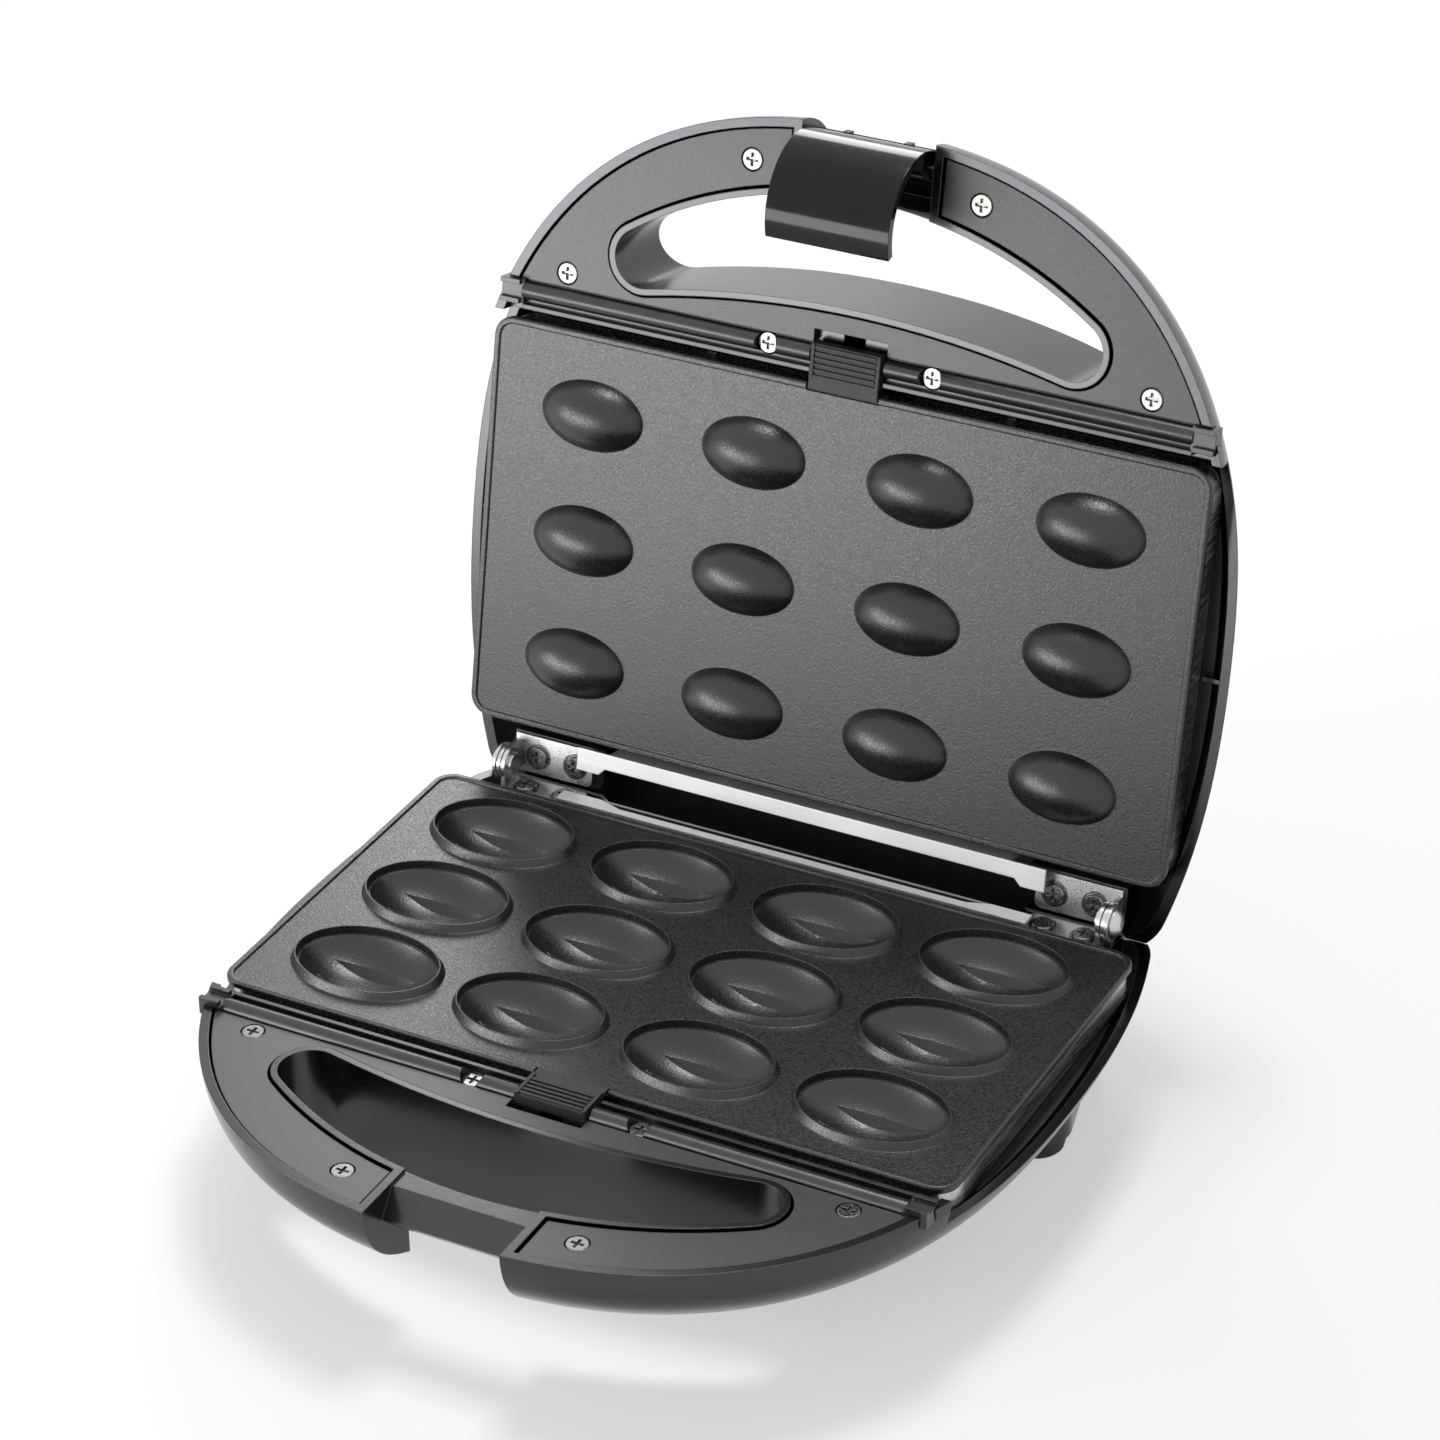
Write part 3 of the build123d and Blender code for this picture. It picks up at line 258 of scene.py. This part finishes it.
# %% [markdown]
# ## Finishes
#
# Each finish starts from the real material and from how its surface was made. Four things are shared:
# a colour that varies a little, a grain whose size is given in real millimetres, a relief from that
# grain, and edges that are slightly rounded, because no real edge is perfectly sharp. The rounding is
# done by the shader, so the CAD shape stays as it is.

# %% Parts of every finish
EDGE_ROUNDING_MM = 0.35
BEVEL_SAMPLES = 4
# Nearly all of a noise pattern lies between these two values.
GRAIN_DARK, GRAIN_LIGHT = 0.3, 0.7


def new_material(name, **settings):
    """A material with a Principled shader set by name. Returns the material, tree and shader."""
    material = bpy.data.materials.new(name)
    material.use_nodes = True
    tree = material.node_tree
    tree.nodes.clear()
    shader = add_node(tree, "ShaderNodeBsdfPrincipled", **settings)
    add_node(tree, "ShaderNodeOutputMaterial", links=[("Surface", shader.outputs[0])])
    return material, tree, shader


def grain(tree, size_mm, stretch=(1, 1, 1), turn=(0, 0, 0), detail=2.0, fineness=0.5):
    """Noise whose grains are about size_mm across in object space.

    stretch makes them that many times longer along each axis, after the pattern is turned. detail is
    the number of finer layers of grains, and fineness how strong each is against the one before.
    """
    place = add_node(tree, "ShaderNodeTexCoord")
    mapping = add_node(
        tree,
        "ShaderNodeMapping",
        Scale=[1 / s for s in stretch],
        Rotation=turn,
        links=[("Vector", place.outputs["Object"])],
    )
    noise = add_node(
        tree,
        "ShaderNodeTexNoise",
        Scale=1.0 / (size_mm * MM),
        Detail=detail,
        Roughness=fineness,
        links=[("Vector", mapping.outputs[0])],
    )
    return noise.outputs[0]


def vary(tree, node, socket, texture, low, high):
    """Drives an input of the node from low to high as the grain goes from dark to light."""
    spread = add_node(
        tree,
        "ShaderNodeMapRange",
        From_Min=GRAIN_DARK,
        From_Max=GRAIN_LIGHT,
        To_Min=low,
        To_Max=high,
        links=[("Value", texture)],
    )
    tree.links.new(spread.outputs[0], node.inputs[socket])


def shaded(tree, colour, texture, low, high):
    """The colour with its brightness going from low to high times its own with the grain."""
    shade = add_node(tree, "ShaderNodeHueSaturation", Color=linear(colour))
    vary(tree, shade, "Value", texture, low, high)
    return shade.outputs[0]


def relief(tree, shader, texture, depth_mm, rounding_mm=EDGE_ROUNDING_MM):
    """Bump of depth_mm from a grain, on top of edges rounded by rounding_mm."""
    rounding = add_node(tree, "ShaderNodeBevel", samples=BEVEL_SAMPLES, Radius=rounding_mm * MM)
    bump = add_node(
        tree,
        "ShaderNodeBump",
        Distance=depth_mm * MM,
        links=[("Height", texture), ("Normal", rounding.outputs[0])],
    )
    tree.links.new(bump.outputs["Normal"], shader.inputs["Normal"])


# %% One finish from one grain
def finish(
    name,
    colour,
    shade,
    roughness,
    grain_mm,
    relief_mm,
    rounding_mm=EDGE_ROUNDING_MM,
    pattern=None,
    **settings,
):
    """A material whose colour, roughness and relief all follow one grain of grain_mm.

    shade holds the lowest and highest brightness of the colour, and roughness its lowest and highest
    value. pattern holds the grain's own stretch, turn, detail and fineness, and settings fill sockets
    of the shader.
    """
    material, tree, shader = new_material(name, **settings)
    texture = grain(tree, grain_mm, **(pattern or {}))
    tree.links.new(shaded(tree, colour, texture, *shade), shader.inputs["Base Color"])
    vary(tree, shader, "Roughness", texture, *roughness)
    relief(tree, shader, texture, relief_mm, rounding_mm)
    print("finish:", name)
    return material


# %% [markdown]
# ### Housings: lacquered ABS
#
# The two housings are moulded in black ABS and sprayed with a dark metallic lacquer, which mirrors
# the studio softly and has a faint orange peel. The spray doesn't reach inside, so behind the front
# strip the inner walls stay raw black plastic. The shader finds them by itself: there a wall's normal
# points back towards the middle of its half.

# %% Lacquer outside, raw plastic inside
LACQUER = {"colour": "#4a4a4c", "Metallic": 1.0, "Roughness": 0.22}
RAW_PLASTIC = {"colour": "#1b1b1c", "Metallic": 0.0, "Roughness": 0.5}
PEEL_MM = 1.6
PEEL_DEPTH_MM = 0.012
CLOUD_MM = 30.0
# A Mix node that is set to colours takes them at these inputs and gives its result at this output.
MIX_FIRST, MIX_SECOND, MIX_RESULT = 6, 7, 2


def raw_places(tree, half_middle, half_back, wall_place):
    """1 on the inner walls, 0 outside.

    A point is inside when (point - middle) . normal < 0 and (point - wall place) . back > 0.
    """
    place = add_node(tree, "ShaderNodeTexCoord")
    from_middle, from_wall = (
        add_node(
            tree,
            "ShaderNodeVectorMath",
            operation="SUBTRACT",
            links=[(0, place.outputs["Object"]), (1, start)],
        )
        for start in (half_middle, wall_place)
    )
    outward = add_node(
        tree,
        "ShaderNodeVectorMath",
        operation="DOT_PRODUCT",
        links=[(0, from_middle.outputs[0]), (1, place.outputs["Normal"])],
    )
    behind = add_node(
        tree,
        "ShaderNodeVectorMath",
        operation="DOT_PRODUCT",
        links=[(0, from_wall.outputs[0]), (1, half_back)],
    )
    faces_in = add_node(
        tree,
        "ShaderNodeMath",
        operation="LESS_THAN",
        links=[(0, outward.outputs["Value"]), (1, 0.0)],
    )
    is_behind = add_node(
        tree,
        "ShaderNodeMath",
        operation="GREATER_THAN",
        links=[(0, behind.outputs["Value"]), (1, 0.0)],
    )
    raw = add_node(
        tree,
        "ShaderNodeMath",
        operation="MULTIPLY",
        links=[(0, faces_in.outputs[0]), (1, is_behind.outputs[0])],
    )
    return raw.outputs[0]


def housing_finish(name, half_middle, half_back, wall_place):
    """Lacquer with raw plastic on the inner walls. Places in metres, back as a direction."""
    material, tree, shader = new_material(name)
    raw = raw_places(tree, half_middle, half_back, wall_place)
    cloud = grain(tree, CLOUD_MM)
    colour = add_node(
        tree,
        "ShaderNodeMix",
        data_type="RGBA",
        links=[
            (0, raw),
            (MIX_FIRST, shaded(tree, LACQUER["colour"], cloud, low=0.97, high=1.03)),
            (MIX_SECOND, linear(RAW_PLASTIC["colour"])),
        ],
    )
    tree.links.new(colour.outputs[MIX_RESULT], shader.inputs["Base Color"])
    for socket in ("Metallic", "Roughness"):
        level = add_node(
            tree,
            "ShaderNodeMapRange",
            To_Min=LACQUER[socket],
            To_Max=RAW_PLASTIC[socket],
            links=[("Value", raw)],
        )
        tree.links.new(level.outputs[0], shader.inputs[socket])
    relief(tree, shader, grain(tree, PEEL_MM, detail=1.0), PEEL_DEPTH_MM)
    print("finish:", name)
    return material


base_housing = housing_finish(
    "gunmetal_lacquer_on_base",
    half_middle=(0.0, -0.0028, 0.030),
    half_back=(0.0, 1.0, 0.0),
    wall_place=(0.0, -0.0635, 0.0),
)
lid_housing = housing_finish(
    "gunmetal_lacquer_on_lid",
    half_middle=(0.0, 0.0978, 0.1103),
    half_back=(0.0, -0.2028, -0.9792),
    wall_place=(0.0, 0.0945, 0.173),
)

# %% [markdown]
# ### Handle covers and front strips
#
# A cover is a flat sheet of ABS with a satin lacquer over a fine spark-eroded grain. It holds no
# metal, and it spreads a reflection wide. The strips have the housings' metallic lacquer, a little
# less bright.

# %% Satin covers
cover = finish(
    "satin_lacquer_cover",
    "#212122",
    shade=(0.9, 1.1),
    roughness=(0.34, 0.42),
    grain_mm=0.45,
    relief_mm=0.006,
    IOR=1.5,
    Specular_IOR_Level=0.8,
)

# %% Gloss strips
strip = finish(
    "gloss_strip_abs",
    "#4a4a4c",
    shade=(0.95, 1.05),
    roughness=(0.26, 0.34),
    grain_mm=6.0,
    relief_mm=0.01,
    pattern={"detail": 1.0},
    Metallic=0.8,
)

# %% [markdown]
# ### Clips and latch
#
# The release clips are glass-filled nylon straight from the mould: matte, nearly black and a little
# rough. The latch is polished piano black, so it is the darkest and the sharpest mirror of all.

# %% Matte nylon clips
clip = finish(
    "glass_filled_nylon",
    "#1d1d1e",
    shade=(0.85, 1.2),
    roughness=(0.45, 0.62),
    grain_mm=0.4,
    relief_mm=0.015,
    pattern={"detail": 3.0},
    IOR=1.53,
)

# %% Piano black latch
latch_gloss = finish(
    "piano_black_abs",
    "#090909",
    shade=(0.9, 1.15),
    roughness=(0.08, 0.14),
    grain_mm=12.0,
    relief_mm=0.01,
    pattern={"detail": 1.0},
    IOR=1.49,
    Specular_IOR_Level=0.32,
)

# %% [markdown]
# ### Non-stick coat
#
# The plates are cast aluminium, blasted and sprayed with a black PTFE coat that holds fine, lighter
# grains. Each grain stands a little proud and turns its own way, so the coat sparkles a little and
# its shine is broad. The real grains are about 0.1 mm, drawn here at 0.6 mm so that they show.

# %% Sprayed coat with fine grains
coat = finish(
    "sprayed_ptfe_coat",
    "#151516",
    shade=(0.4, 1.8),
    roughness=(0.22, 0.42),
    grain_mm=0.6,
    relief_mm=0.08,
    pattern={"fineness": 0.7},
    IOR=1.5,
    Specular_IOR_Level=0.7,
)

# %% [markdown]
# ### Steels
#
# The heat pans are brushed sheet, with lines along the direction they were brushed in. The rails are
# bright galvanised strip with faint rolling lines, and their pale zinc skin scatters more light than
# bare metal does. The hinge leaves are zinc plated with a fine grain, and the screws are nickel
# plated.

# %% Brushed pans
pan = finish(
    "brushed_stainless_steel",
    "#c4c4c6",
    shade=(0.75, 1.15),
    roughness=(0.2, 0.38),
    grain_mm=0.5,
    relief_mm=0.012,
    pattern={"stretch": (1, 40, 1), "turn": (np.radians(12), 0, 0)},
    Metallic=1.0,
)

# %% Galvanised rails
rail = finish(
    "bright_galvanised_strip",
    "#f4f4f5",
    shade=(0.96, 1.0),
    roughness=(0.28, 0.38),
    grain_mm=0.4,
    relief_mm=0.004,
    pattern={"stretch": (60, 1, 1)},
    Metallic=0.35,
)

# %% Zinc plated leaves, pins and brackets
zinc = finish(
    "zinc_plated_steel",
    "#cfcfd1",
    shade=(0.88, 1.05),
    roughness=(0.24, 0.4),
    grain_mm=0.5,
    relief_mm=0.01,
    pattern={"detail": 3.0, "fineness": 0.6},
    Metallic=1.0,
)

# %% Nickel plated screws
nickel = finish(
    "nickel_plated_screws",
    "#838280",
    shade=(0.85, 1.05),
    roughness=(0.16, 0.3),
    grain_mm=0.8,
    relief_mm=0.01,
    rounding_mm=0.25,
    Metallic=1.0,
)

# %% [markdown]
# ### Black frames, rubber and the parts inside
#
# The frames round the pans are moulded in black heat-proof PPS. The feet and the cord gland are
# rubber, with a dull and slightly dusty skin. The element tubes are steel that heat has dulled and
# browned. The terminal block is unglazed steatite, the leads have silicone skins, and the two lamps
# have polished lenses of coloured polycarbonate.

# %% Frames, feet and gland
frame_black = finish(
    "black_pps_frame",
    "#171718",
    shade=(0.88, 1.12),
    roughness=(0.42, 0.55),
    grain_mm=0.6,
    relief_mm=0.015,
)
foot_rubber = finish(
    "moulded_foot_rubber",
    "#1b1b1b",
    shade=(0.85, 1.15),
    roughness=(0.55, 0.7),
    grain_mm=0.7,
    relief_mm=0.03,
)
gland_rubber = finish(
    "soft_gland_rubber",
    "#1d1d1d",
    shade=(0.88, 1.12),
    roughness=(0.5, 0.62),
    grain_mm=0.6,
    relief_mm=0.02,
)

# %% Heating and wiring
element_steel = finish(
    "heat_dulled_steel",
    "#6b6864",
    shade=(0.82, 1.18),
    roughness=(0.35, 0.55),
    grain_mm=2.5,
    relief_mm=0.02,
    Metallic=1.0,
)
lead_silicone = finish(
    "silicone_lead_skin",
    "#c8c2b6",
    shade=(0.94, 1.06),
    roughness=(0.42, 0.5),
    grain_mm=1.5,
    relief_mm=0.01,
)
terminal_ceramic = finish(
    "unglazed_steatite",
    "#e2dccf",
    shade=(0.95, 1.05),
    roughness=(0.5, 0.7),
    grain_mm=0.5,
    relief_mm=0.03,
)
brass = finish(
    "dull_brass",
    "#b08d4c",
    shade=(0.9, 1.1),
    roughness=(0.3, 0.42),
    grain_mm=1.2,
    relief_mm=0.01,
    Metallic=1.0,
)

# %% Lamp lenses
lens_red, lens_green = (
    finish(
        name,
        colour,
        shade=(0.95, 1.05),
        roughness=(0.08, 0.12),
        grain_mm=3.0,
        relief_mm=0.005,
    )
    for name, colour in (
        ("red_polycarbonate_lens", "#b01812"),
        ("green_polycarbonate_lens", "#1c8a34"),
    )
)

# %% [markdown]
# ## Every piece gets its finish
#
# The CAD record names a material slot for each node, and one finish belongs to each slot. The two
# housings have their own, because each looks for its own inner walls.

# %% Give every node its finish
finishes = {
    "cover_plastic": cover,
    "strip_plastic": strip,
    "clip_plastic": clip,
    "latch_plastic": latch_gloss,
    "non_stick_coating": coat,
    "pan_steel": pan,
    "rail_steel": rail,
    "hinge_steel": zinc,
    "screw_steel": nickel,
    "frame_black": frame_black,
    "foot_rubber": foot_rubber,
    "gland_rubber": gland_rubber,
    "element_steel": element_steel,
    "lead_silicone": lead_silicone,
    "terminal_ceramic": terminal_ceramic,
    "brass_parts": brass,
    "lamp_red": lens_red,
    "lamp_green": lens_green,
}
by_node = {"base_shell": base_housing, "lid_shell": lid_housing}
for part in frame["record"]["subparts"]:
    node = frame["nodes"][part["node"]]
    node.data.materials.clear()
    node.data.materials.append(by_node.get(part["node"]) or finishes[part["material_slot"]])

# %% View settings and the end
bpy.context.scene.view_settings.view_transform = "Standard"
